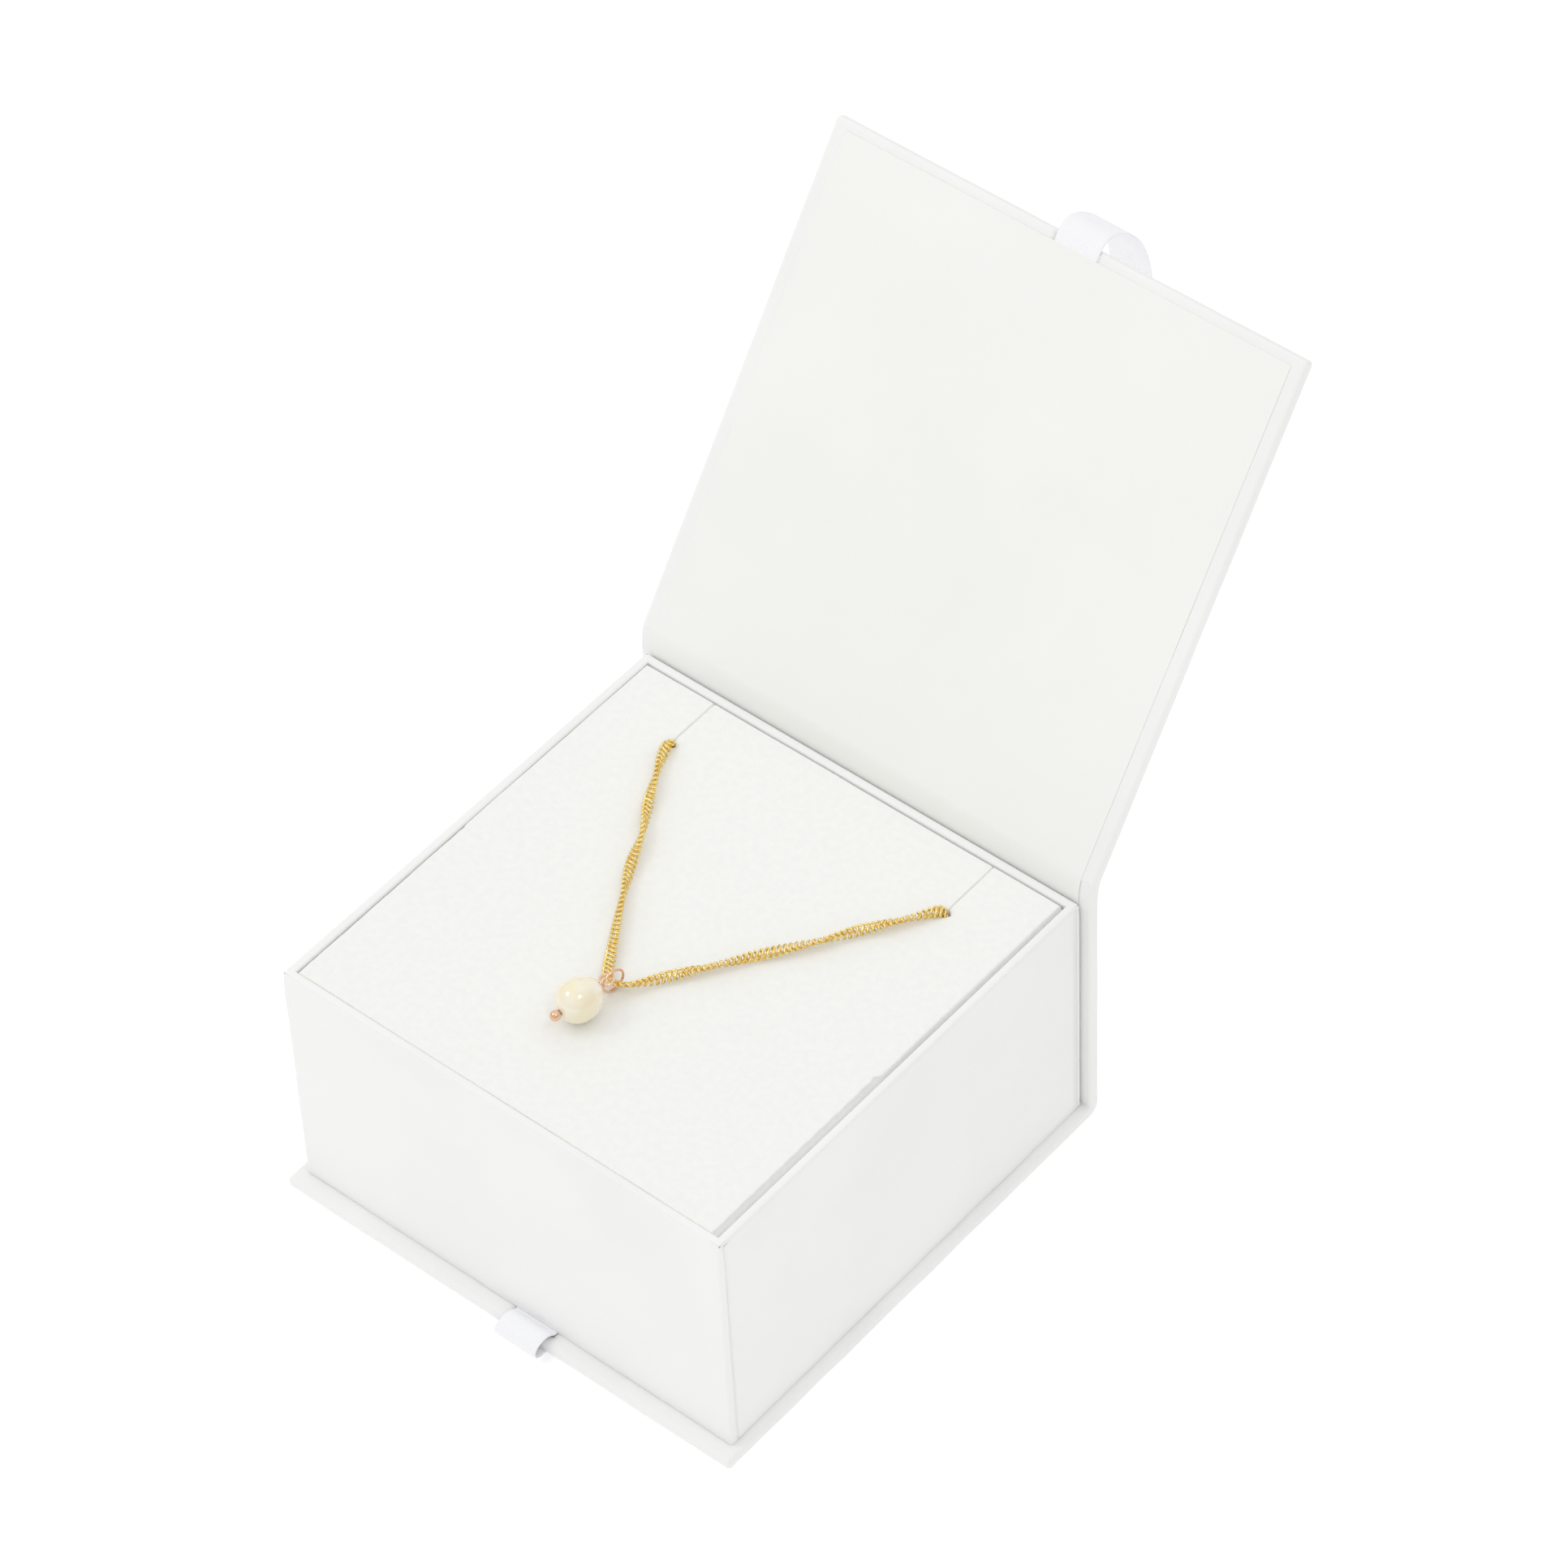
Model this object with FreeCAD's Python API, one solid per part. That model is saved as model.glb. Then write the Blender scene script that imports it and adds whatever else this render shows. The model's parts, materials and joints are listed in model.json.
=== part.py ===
import FreeCAD, Part
import math
import os

# Jewellery gift box: a book-style rigid case (base, spine and lid boards in one paper wrap)
# with a paper-wrapped tray glued to its base, a foam insert with two slits, a fine twisted
# chain with a pearl drop, and a tie ribbon on the lid and on the base.
#
# Frame: origin at the middle of the case's underside, +X to the right seen from the front,
# +Y to the hinge at the back, +Z up. Millimetres. The lid stands open against its liner.

# case boards and papers
board = 1.5
wrap = 0.125
liner = 0.1
turn_in = 14.0
overhang_front = 2.45
overhang_side = 1.5
edge_round = 0.6

# tray
tray_w = 75.6
tray_d = 74.35
tray_h = 41.27
tray_board = 1.07
tray_paper = 0.125
stay_t = 0.08
stay_w = 9.0
stay_below_rim = 2.0
tray_turn_in = 12.0
tray_under_turn = 10.0
tray_edge_round = 0.5

# spine and lid hinge
spine_gap = 0.35
spine_top_gap = 0.12
lid_gap = 0.4
fold_inset = 1.04
fold_drop = 0.49
lid_setback = 1.2
lid_open = 126.1
liner_front_margin = 1.4
liner_side_margin = 2.1
spine_liner_bottom = 12.0

# foam
foam_gap_left = 0.45
foam_gap_right = 0.65
foam_front_gap = 0.05
foam_back_gap = 0.3
foam_step_y = -2.6
foam_step = 0.45
foam_below_rim = 0.02
pad_t = 12.0
slit_x_left = -24.1
slit_x_right = 24.5
slit_w = 0.4
slit_y_left = 26.3
slit_y_right = 25.3
chain_hole_clear = 0.2
mouth_r = 2.0
pocket_w = 58.0
pocket_d = 30.0
pocket_y = 16.6
pocket_depth = 16.0

# ribbons
ribbon_w = 7.2
ribbon_t = 0.34
ribbon_clear = 0.03
ribbon_glued = 8.0
pressed_past_tray = 0.9
lid_ribbon_x = 1.8
base_ribbon_x = 3.85
under_ribbon_tail = 74.0

# necklace
chain_d = 1.9
on_foam = 0.1
pearl_d = 6.2
pearl_len = 6.9
pin_wire = 0.4
pin_ball = 1.54
pearl_hole = 0.7
drop_tilt = 8.0
eye_r = 0.9
bail_wire = 0.36
bail_reach = 0.15
bail_over_foam = 0.02
coil_r = 10.5
coil_w = 4.2
coil_h = 4.2
clasp_r = 2.3
clasp_tube = 1.4
ring_r = 1.5
ring_wire = 0.6

# worked out
case_t = board + 2 * wrap
case_depth = overhang_front + tray_d + spine_gap + case_t
front_y = -case_depth / 2
back_y = case_depth / 2
half_w = tray_w / 2 + overhang_side
spine_in = back_y - case_t
base_back = spine_in - spine_gap / 2
fold_r = back_y - base_back
tray_front = front_y + overhang_front
tray_back = tray_front + tray_d
tray_skin = tray_paper + stay_t
tray_wall = tray_skin + tray_board + tray_paper
rim_z = case_t + tray_h
spine_top = rim_z - spine_top_gap
lid_in_z = rim_z + lid_gap
lid_out_z = lid_in_z + case_t
pivot_y = back_y - fold_inset
pivot_z = lid_out_z - fold_drop
lid_back = pivot_y - lid_setback
floor_z = case_t + tray_paper
floor_top = floor_z + tray_board
in_left = -tray_w / 2 + tray_wall
in_right = tray_w / 2 - tray_wall
in_front = tray_front + tray_wall
in_back = tray_back - tray_wall
foam_top = rim_z - foam_below_rim
pad_bottom = foam_top - pad_t
pocket_floor = pad_bottom - pocket_depth
chain_z = foam_top + on_foam + chain_d / 2
tail_z = pocket_floor + on_foam + chain_d / 2

os.makedirs("parts", exist_ok=True)


def vec(x, y, z):
    return FreeCAD.Vector(x, y, z)


def save(name, shape):
    shape.exportStep(f"parts/{name}.step")
    print(f"{name}: {len(shape.Solids)} solid(s), valid {shape.isValid()}, {shape.Volume:.1f} mm3")


def box(x0, x1, y0, y1, z0, z1):
    return Part.makeBox(x1 - x0, y1 - y0, z1 - z0, vec(x0, y0, z0))


def rounded(solid, radius, axis=None, at=None):
    """The solid with its edges rounded, except those that lie in the plane axis = at."""
    edges = []
    for edge in solid.Edges:
        span = edge.BoundBox
        low, high = {"Y": (span.YMin, span.YMax), "Z": (span.ZMin, span.ZMax)}.get(axis, (0, 1))
        if axis is None or abs(low - at) > 0.01 or abs(high - at) > 0.01:
            edges.append(edge)
    return solid.makeFillet(radius, edges)


def opened(shape):
    """A lid piece, built closed, turned to where the lid stands open."""
    turned = shape.copy()
    turned.rotate(vec(0, pivot_y, pivot_z), vec(1, 0, 0), -lid_open)
    return turned


def opened_point(y, z):
    """The place, on the open lid, of a point of the closed one."""
    a = math.radians(-lid_open)
    dy = y - pivot_y
    dz = z - pivot_z
    return pivot_y + dy * math.cos(a) - dz * math.sin(a), pivot_z + dy * math.sin(a) + dz * math.cos(a)


def bar(corners, x0, x1):
    """A flat-sided bar along X whose section has these (y, z) corners."""
    points = [vec(x0, y, z) for y, z in corners]
    face = Part.Face(Part.makePolygon(points + points[:1]))
    return face.extrude(vec(x1 - x0, 0, 0))


def bent_path(places):
    """Straight runs joined by tangent arcs, each arc as large as its two runs allow."""
    points = [vec(*place) for place in places]
    edges = []
    radii = []
    start = points[0]
    for before, at, after in zip(points, points[1:], points[2:]):
        come = (at - before).normalize()
        go = (after - at).normalize()
        turn = come.getAngle(go)
        cut = 0.45 * min((at - before).Length, (after - at).Length)
        radius = cut / math.tan(turn / 2)
        first = at - come * cut
        last = at + go * cut
        middle = at + (go - come).normalize() * (radius / math.cos(turn / 2) - radius)
        edges.append(Part.LineSegment(start, first).toShape())
        edges.append(Part.Arc(first, middle, last).toShape())
        radii.append(f"{radius:.1f}")
        start = last
    edges.append(Part.LineSegment(start, points[-1]).toShape())
    print("  arc radii " + " ".join(radii))
    return Part.Wire(edges), points[0], points[1] - points[0]


def tube(places, diameter):
    path, start, along = bent_path(places)
    circle = Part.makeCircle(diameter / 2, start, along)
    solid = path.makePipeShell([Part.Wire([circle])], True, False)
    wanted = math.pi * diameter ** 2 / 4 * path.Length
    print(f"  tube {path.Length:.1f} mm long, volume {solid.Volume:.1f} of {wanted:.1f} mm3")
    return solid


def ribbon(places, x_middle):
    """A flat ribbon whose middle line runs through these (y, z) places, lying across X."""
    path, start, along = bent_path([(x_middle, y, z) for y, z in places])
    out = along.cross(vec(1, 0, 0)).normalize() * (ribbon_t / 2)
    side = vec(ribbon_w / 2, 0, 0)
    corners = [start + out + side, start - out + side, start - out - side, start + out - side]
    section = Part.makePolygon(corners + corners[:1])
    solid = path.makePipeShell([section], True, False)
    wanted = ribbon_w * ribbon_t * path.Length
    print(f"  ribbon {path.Length:.1f} mm long, volume {solid.Volume:.1f} of {wanted:.1f} mm3")
    return solid


def wrapped_board(x0, x1, y0, y1, z0, z1, axis, at):
    """A board and the paper around it; the paper is not rounded where it runs on, at axis = at."""
    core = box(x0 + wrap, x1 - wrap, y0 + wrap, y1 - wrap, z0 + wrap, z1 - wrap)
    core = rounded(core, edge_round - wrap)
    return core, rounded(box(x0, x1, y0, y1, z0, z1), edge_round, axis, at).cut(core)


def make_base():
    core, paper = wrapped_board(-half_w, half_w, front_y, base_back, 0, case_t, "Y", base_back)
    paper = paper.cut(box(-half_w + turn_in, half_w - turn_in, front_y + turn_in, base_back - turn_in,
                          case_t - wrap, case_t + 1))
    # the tie ribbon's glued end is pressed in under the tray, and its tail into the underside
    side = ribbon_w / 2 + 2 * ribbon_clear
    depth = ribbon_t + 2 * ribbon_clear
    pressed = box(base_ribbon_x - side, base_ribbon_x + side,
                  tray_front - pressed_past_tray, tray_front + ribbon_glued + 0.1,
                  case_t - depth, case_t + 1)
    channel = box(base_ribbon_x - side, base_ribbon_x + side, front_y - 1, front_y + under_ribbon_tail,
                  -1, depth + ribbon_clear)
    save("base_board", core.cut(pressed).cut(channel))
    save("base_wrap", paper.cut(pressed).cut(channel))


def make_spine():
    """The spine board and its paper, with the paper fold that joins them to the base."""
    core, paper = wrapped_board(-half_w, half_w, spine_in, back_y, fold_r, spine_top, "Z", fold_r)
    window = box(-half_w + turn_in, half_w - turn_in, spine_in - 1, spine_in + wrap,
                 fold_r + turn_in, spine_top - turn_in)
    save("spine_board", core)
    save("spine_wrap", paper.cut(window))
    outer = Part.makeCylinder(fold_r, 2 * half_w, vec(-half_w, base_back, fold_r), vec(1, 0, 0))
    inner = Part.makeCylinder(fold_r - wrap, 2 * half_w, vec(-half_w, base_back, fold_r), vec(1, 0, 0))
    quarter = box(-half_w, half_w, base_back, back_y + 1, -1, fold_r)
    save("base_fold", outer.cut(inner).common(quarter))
    x = half_w - liner_side_margin
    save("spine_liner", box(-x, x, spine_in - liner, spine_in, spine_liner_bottom, spine_top))


def make_lid():
    core, paper = wrapped_board(-half_w, half_w, front_y, lid_back, lid_in_z, lid_out_z, "Y", lid_back)
    paper = paper.cut(box(-half_w + turn_in, half_w - turn_in, front_y + turn_in, lid_back - turn_in,
                          lid_in_z - 1, lid_in_z + wrap))
    # the tie ribbon's glued end is pressed into the board, from the free edge in
    side = ribbon_w / 2 + 2 * ribbon_clear
    pressed = box(lid_ribbon_x - side, lid_ribbon_x + side,
                  front_y - 1, front_y + liner_front_margin + ribbon_glued + 0.1,
                  lid_in_z - 1, lid_in_z + ribbon_t + 2 * ribbon_clear)
    save("lid_board", opened(core.cut(pressed)))
    save("lid_wrap", opened(paper.cut(pressed)))
    x = half_w - liner_side_margin
    save("lid_liner", opened(box(-x, x, front_y + liner_front_margin, lid_back, lid_in_z - liner, lid_in_z)))


def hinge_strip(spine_y, spine_face_y, lid_z, lid_face_z):
    """Corners of a bent strip from the spine's top to the lid's back edge."""
    near_y, near_z = opened_point(lid_back, lid_z)
    far_y, far_z = opened_point(lid_back, lid_face_z)
    slope = math.tan(math.radians(180 - lid_open))
    near_cross = near_z - (near_y - spine_y) * slope
    far_cross = far_z - (far_y - spine_face_y) * slope
    return [(spine_y, spine_top), (spine_y, near_cross), (near_y, near_z), (far_y, far_z),
            (spine_face_y, far_cross), (spine_face_y, spine_top)]


def make_hinge():
    """The two strips of paper that bend where the lid meets the spine."""
    outer = hinge_strip(back_y, back_y - wrap, lid_out_z, lid_out_z - wrap)
    save("hinge_wrap", bar(outer, -half_w + edge_round, half_w - edge_round))
    x = half_w - liner_side_margin
    inner = hinge_strip(spine_in, spine_in - liner, lid_in_z, lid_in_z - liner)
    save("hinge_liner", bar(inner, -x, x))


def make_tray():
    """Floor and four wall panels of board, corner stays, and the one sheet that covers them."""
    x = tray_w / 2 - tray_skin
    y0 = tray_front + tray_skin
    y1 = tray_back - tray_skin
    top = rim_z - tray_paper
    save("tray_floor", box(-x, x, y0, y1, floor_z, floor_top))
    save("tray_front_wall", box(-x, x, y0, y0 + tray_board, floor_top, top))
    save("tray_back_wall", box(-x, x, y1 - tray_board, y1, floor_top, top))
    save("tray_left_wall", box(-x, -x + tray_board, y0 + tray_board, y1 - tray_board, floor_top, top))
    save("tray_right_wall", box(x - tray_board, x, y0 + tray_board, y1 - tray_board, floor_top, top))
    # paper tapes round the four upright corners, under the covering sheet
    stays = []
    low = floor_z
    high = rim_z - stay_below_rim
    for sx in (-1, 1):
        for face, way in ((y0, -1), (y1, 1)):
            a = sorted((sx * (x + stay_t), sx * (x - stay_w)))
            b = sorted((face + way * stay_t, face - way * stay_w))
            core = box(-x, x, y0, y1, low - 1, high + 1)
            stays.append(box(a[0], a[1], b[0], b[1], low, high).cut(core))
    stays = Part.makeCompound(stays)
    save("tray_corner_stays", stays)
    outside = box(-tray_w / 2, tray_w / 2, tray_front, tray_back, case_t, rim_z)
    upright = [e for e in outside.Edges if e.BoundBox.ZLength > tray_h / 2]
    rim = [e for e in outside.Edges if e.BoundBox.ZMin > rim_z - 0.01]
    outside = outside.makeFillet(tray_edge_round, upright + rim)
    inside = box(in_left, in_right, in_front, in_back, floor_top, rim_z + 1)
    bare = box(-x + tray_board, x - tray_board, y0 + tray_board, y1 - tray_board, floor_z, top)
    panels = box(-x, x, y0, y1, floor_z, top).cut(bare)
    cavity = box(-x + tray_board, x - tray_board, y0 + tray_board, y1 - tray_board,
                 floor_z, rim_z - tray_turn_in)
    under = box(-tray_w / 2 + tray_under_turn, tray_w / 2 - tray_under_turn,
                tray_front + tray_under_turn, tray_back - tray_under_turn, case_t - 1, floor_z)
    paper = outside.cut(panels).cut(inside).cut(cavity).cut(under)
    for stay in stays.Solids:
        paper = paper.cut(stay)
    save("tray_wrap", paper)


def foam_outline(z0, z1):
    """The foam's plan, a little narrower in front of its nicks."""
    left = in_left + foam_gap_left
    right = in_right - foam_gap_right
    front = in_front + foam_front_gap
    back = in_back - foam_back_gap
    corners = [
        (left + foam_step, front), (right - foam_step, front), (right - foam_step, foam_step_y),
        (right, foam_step_y + foam_step), (right, back), (left, back),
        (left, foam_step_y + foam_step), (left + foam_step, foam_step_y),
    ]
    points = [vec(x, y, z0) for x, y in corners]
    return Part.Face(Part.makePolygon(points + points[:1])).extrude(vec(0, 0, z1 - z0))


def make_foam():
    pad = foam_outline(pad_bottom, foam_top)
    hole_r = chain_d / 2 + chain_hole_clear
    for x, y in ((slit_x_left, slit_y_left), (slit_x_right, slit_y_right)):
        pad = pad.cut(box(x - slit_w / 2, x + slit_w / 2, y, in_back, pad_bottom - 1, rim_z))
        pad = pad.cut(Part.makeCylinder(hole_r, pad_t + 2, vec(x, y, pad_bottom - 1)))
        pad = pad.cut(Part.makeSphere(mouth_r, vec(x, y, foam_top)))
    save("foam_pad", pad)
    pocket = box(-pocket_w / 2, pocket_w / 2, pocket_y - pocket_d / 2, pocket_y + pocket_d / 2,
                 pocket_floor, pad_bottom + 1)
    save("foam_riser", foam_outline(floor_top, pad_bottom).cut(pocket))


# the lid's tie ribbon past the free edge of the open lid: over the edge, then hanging behind it;
# distances back and up from the inner corner of the free edge
lid_ribbon_hang = [
    (0.75, 0.62), (1.95, 0.97), (3.45, 0.62), (5.45, -0.63), (7.35, -2.43), (9.05, -4.93),
    (10.35, -8.13), (11.25, -12.33), (11.75, -18.33), (12.05, -29.33), (12.1, -44.33),
    (11.9, -62.33), (11.45, -82.33),
]


def make_ribbons():
    middle = ribbon_t / 2 + ribbon_clear
    glued = [opened_point(front_y + liner_front_margin + ribbon_glued, lid_in_z + middle),
             opened_point(front_y + 0.9, lid_in_z + middle)]
    edge_y, edge_z = opened_point(front_y, lid_in_z)
    hang = [(edge_y + back, edge_z + up) for back, up in lid_ribbon_hang]
    save("lid_ribbon", ribbon(glued + hang, lid_ribbon_x))
    # distances in front of the case's front edge: out from under the tray, round and under
    top = case_t - middle
    low = ribbon_t / 2 + ribbon_clear
    line = [
        (-overhang_front - ribbon_glued, top), (0.3 - overhang_front, top), (-1.3, 2.5), (-0.35, 2.95),
        (0.9, 2.9), (1.85, 2.35), (2.2, 1.5), (1.9, 0.7), (1.1, 0.27), (0.1, low + 0.02), (-1.2, low),
        (1.0 - under_ribbon_tail, low + 0.02),
    ]
    save("base_ribbon", ribbon([(front_y - past, z) for past, z in line], base_ribbon_x))


# the chain from the left slit, over the foam, round the drop's bail and back to the right slit;
# the heights are over the line that the chain's middle follows on the foam
front_route = [
    (-24.1, 26.3, -2.4), (-24.1, 26.3, -0.8), (-23.5, 24.9, 0), (-22.6, 22.6, 0), (-21.1, 19.6, 0),
    (-18.7, 15.4, 0), (-15.6, 10.5, 0), (-13.7, 6.2, 0), (-10.2, -0.1, 0), (-6.6, -5.7, 0),
    (-4.0, -9.7, 0.05), (-2.8, -11.6, 0.3), (-1.6, -12.4, 0.45), (-0.3, -12.0, 0.45), (0.8, -10.9, 0.25),
    (2.4, -8.5, 0), (3.9, -6.2, 0), (6.9, -1.7, 0), (11.2, 4.4, 0), (15.2, 10.3, 0), (19.1, 16.3, 0),
    (21.8, 20.4, 0), (23.7, 23.3, 0), (24.5, 25.3, -0.8), (24.5, 25.3, -2.4),
]


def make_chain():
    front = [(x, y, chain_z + h) for x, y, h in front_route]
    save("chain_front", tube(front, chain_d))
    # each end runs down its slit into the pocket under the pad and over to the put-away coil
    top = front[0][2]
    x, y = slit_x_left, slit_y_left
    left = [(x, y, top), (x, y, pad_bottom - 0.5), (x + 0.6, y - 0.5, pad_bottom - 7.0),
            (x + 3.2, y - 2.2, tail_z + 2.6), (x + 7.5, y - 4.4, tail_z + 0.4), (x + 11.0, y - 6.0, tail_z)]
    save("chain_left_tail", tube(left, chain_d))
    x, y = slit_x_right, slit_y_right
    right = [(x, y, top), (x, y, pad_bottom - 0.5), (x + 0.5, y - 0.9, pad_bottom - 7.0),
             (x + 0.4, y - 3.6, tail_z + 2.6), (x - 0.6, y - 8.0, tail_z + 0.4), (x - 2.8, y - 12.0, tail_z)]
    save("chain_right_tail", tube(right, chain_d))
    ring = Part.makeCylinder(coil_r + coil_w / 2, coil_h, vec(0, pocket_y, pocket_floor + on_foam))
    ring = ring.cut(Part.makeCylinder(coil_r - coil_w / 2, coil_h, vec(0, pocket_y, pocket_floor + on_foam)))
    save("chain_coil", ring)


def make_clasp():
    """A spring-ring clasp, flat on the pocket's floor, and the ring that it closes on."""
    z = pocket_floor + on_foam + clasp_tube / 2
    x = slit_x_right - 5.2
    y = slit_y_right - 16.4
    body = Part.makeTorus(clasp_r, clasp_tube / 2, vec(x, y, z), vec(0, 0, 1))
    thumb = Part.makeCylinder(0.35, 1.5, vec(x - clasp_r, y - 0.2, z), vec(-0.6, -1, 0))
    save("clasp", body.fuse(thumb))
    at = vec(x - clasp_r - clasp_tube - ring_r - 0.2, y + 0.6, pocket_floor + on_foam + ring_wire / 2)
    save("clasp_ring", Part.makeTorus(ring_r, ring_wire / 2, at, vec(0, 0, 1)))


def drop_point(along, up):
    """A point over the foam, that far from the pearl's middle towards the bail."""
    a = math.radians(drop_tilt)
    return vec(-1.8 + along * math.sin(a), -18.2 + along * math.cos(a), foam_top + up)


def make_drop():
    """The pearl, the head pin through it with its ball and eye, and the bail on the chain."""
    middle = on_foam + pearl_d / 2
    along = (drop_point(1, 0) - drop_point(0, 0)).normalize()
    # a pearl a little longer than wide, narrower towards the bail, drilled through for the pin
    half = pearl_len / 2
    hole = pearl_hole / 2
    first = math.asin(pearl_hole / pearl_d)
    outline = []
    for i in range(13):
        t = first + (math.pi - 2 * first) * i / 12
        s = -half * math.cos(t)
        outline.append(drop_point(s, middle + pearl_d / 2 * math.sin(t) * (1 - 0.07 * s / half)))
    ends = [drop_point(way * half * math.cos(first), middle + hole) for way in (-1, 1)]
    line = Part.BSplineCurve()
    line.interpolate([ends[0]] + outline[1:-1] + [ends[1]])
    profile = Part.Face(Part.Wire([line.toShape(), Part.makeLine(ends[1], ends[0])]))
    save("pearl", profile.revolve(drop_point(0, middle), along, 360))
    ball_at = drop_point(-half - pin_ball / 2, middle)
    eye_at = drop_point(half + 0.4 + eye_r, middle)
    wire = Part.makeCylinder(pin_wire / 2, (eye_at - ball_at).Length - eye_r, ball_at, along)
    eye = Part.makeTorus(eye_r, pin_wire / 2, eye_at, vec(0, 0, 1))
    save("head_pin", Part.makeSphere(pin_ball / 2, ball_at).fuse([wire, eye]))
    # the bail stands on the foam, goes round the chain's bend and comes up through the pin's eye
    bail_r = middle / 2 + bail_reach
    bail_z = foam_top + bail_over_foam + bail_wire / 2 + bail_r
    bail_at = vec(eye_at.x, eye_at.y + math.sqrt(bail_r ** 2 - (eye_at.z - bail_z) ** 2), bail_z)
    save("bail", Part.makeTorus(bail_r, bail_wire / 2, bail_at, vec(1, -0.15, 0)))
    print(f"  pin eye at {eye_at}, bail {bail_r:.2f} mm at {bail_at}, chain line at {chain_z:.2f}")


make_base()
make_spine()
make_lid()
make_hinge()
make_tray()
make_foam()
make_ribbons()
make_chain()
make_clasp()
make_drop()
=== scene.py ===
import bpy, bmesh, json, math
import numpy as np
from mathutils import Matrix, Vector


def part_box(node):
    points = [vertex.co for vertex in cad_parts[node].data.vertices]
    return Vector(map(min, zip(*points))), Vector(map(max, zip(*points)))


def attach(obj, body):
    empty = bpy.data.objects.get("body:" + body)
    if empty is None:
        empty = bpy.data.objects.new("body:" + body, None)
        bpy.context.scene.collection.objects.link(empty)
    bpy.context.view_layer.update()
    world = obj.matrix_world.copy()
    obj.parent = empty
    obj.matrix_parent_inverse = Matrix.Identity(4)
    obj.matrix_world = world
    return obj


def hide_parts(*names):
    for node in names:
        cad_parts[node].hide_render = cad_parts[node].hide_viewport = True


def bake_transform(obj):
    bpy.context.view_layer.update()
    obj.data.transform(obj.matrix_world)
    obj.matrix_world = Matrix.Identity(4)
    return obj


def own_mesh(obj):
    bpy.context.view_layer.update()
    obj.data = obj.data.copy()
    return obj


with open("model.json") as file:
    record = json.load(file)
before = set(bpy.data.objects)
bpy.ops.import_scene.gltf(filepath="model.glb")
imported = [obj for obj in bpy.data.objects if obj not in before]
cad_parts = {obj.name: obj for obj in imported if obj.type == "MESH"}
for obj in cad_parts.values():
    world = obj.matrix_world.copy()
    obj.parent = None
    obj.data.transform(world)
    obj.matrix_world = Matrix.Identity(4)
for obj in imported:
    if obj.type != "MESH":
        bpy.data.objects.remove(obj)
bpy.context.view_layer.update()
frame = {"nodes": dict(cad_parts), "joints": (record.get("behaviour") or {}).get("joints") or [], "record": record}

scene = bpy.context.scene
scene.view_settings.view_transform = "Standard"
mm = 0.001


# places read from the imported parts, in millimetres
def boxOf(node):
    lo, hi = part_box(node)
    return np.array(lo) / mm, np.array(hi) / mm


hinge = next(j for j in frame["joints"] if j["name"] == "lid_hinge")
pivot = np.array(hinge["pos_m"]) / mm
openBy = math.radians(-hinge["range_deg"][0])
baseLo, baseHi = boxOf("base_wrap")
spineLo, spineHi = boxOf("spine_wrap")
trayLo, trayHi = boxOf("tray_wrap")
padLo, padHi = boxOf("foam_pad")
coilLo, coilHi = boxOf("chain_coil")
clothLo, clothHi = boxOf("base_ribbon")
frontY, backY, halfW = baseLo[1], spineHi[1], baseHi[0]
caseT = baseHi[2]
lid = {"foldDrop": 0.49, "setback": 1.2, "linerFront": 1.4, "linerSide": 2.1}
lidOutZ = pivot[2] + lid["foldDrop"]   # the closed lid's outer face
lidInZ = lidOutZ - caseT               # and its inner face
lidBack = pivot[1] - lid["setback"]


def opened(points):
    # A point of the closed lid turned about the hinge line to where the lid stands open
    p = np.asarray(points, float)
    c, s = math.cos(-openBy), math.sin(-openBy)
    y, z = p[..., 1] - pivot[1], p[..., 2] - pivot[2]
    return np.stack([p[..., 0], pivot[1] + y * c - z * s, pivot[2] + y * s + z * c], -1)


# mesh helpers
def addMesh(name, points, faces, material, smooth=True):
    mesh = bpy.data.meshes.new(name)
    mesh.from_pydata((np.asarray(points) * mm).tolist(), [], [list(map(int, f)) for f in faces])
    mesh.polygons.foreach_set("use_smooth", [smooth] * len(mesh.polygons))
    obj = bpy.data.objects.new(name, mesh)
    scene.collection.objects.link(obj)
    mesh.materials.append(material)
    return obj


def gridFaces(nu, nv, wrapU=False, wrapV=False):
    # quads of a grid whose point (i, j) has number i * nv + j
    i = np.arange(nu if wrapU else nu - 1)
    j = np.arange(nv if wrapV else nv - 1)
    a, b = (g.ravel() for g in np.meshgrid(i, j, indexing="ij"))
    a2, b2 = (a + 1) % nu, (b + 1) % nv
    return np.stack([a * nv + b, a2 * nv + b, a2 * nv + b2, a * nv + b2], 1)


def outward(obj, merge=1e-6):
    bm = bmesh.new()
    bm.from_mesh(obj.data)
    bmesh.ops.remove_doubles(bm, verts=bm.verts, dist=merge)
    bmesh.ops.recalc_face_normals(bm, faces=bm.faces)
    bm.to_mesh(obj.data)
    bm.free()
    return obj


def waves(p, size, seed):
    # smooth unevenness: a sum of sines of several directions, about -1 to 1
    r = np.random.default_rng(seed)
    total = np.zeros(len(p))
    for _ in range(6):
        d = r.normal(size=3)
        d /= np.linalg.norm(d)
        total += np.sin(p @ d * (2 * math.pi / size) * r.uniform(0.6, 1.7) + r.uniform(0, 6.3))
    return total / 3


def edgeLines(lo, hi, r, step, extra=()):
    # grid lines along one side: close where the edge is rounded, then every step
    turn = np.linspace(math.pi / 4, 0, 6)
    low = lo + r - r * np.tan(turn)
    high = hi - r + r * np.tan(turn[::-1])
    middle = np.linspace(lo + r, hi - r, max(2, int((hi - lo) / step) + 1))[1:-1]
    lines = np.concatenate([low, middle, high, [e for e in extra if lo + r < e < hi - r]])
    return np.unique(np.round(lines, 5))


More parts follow.
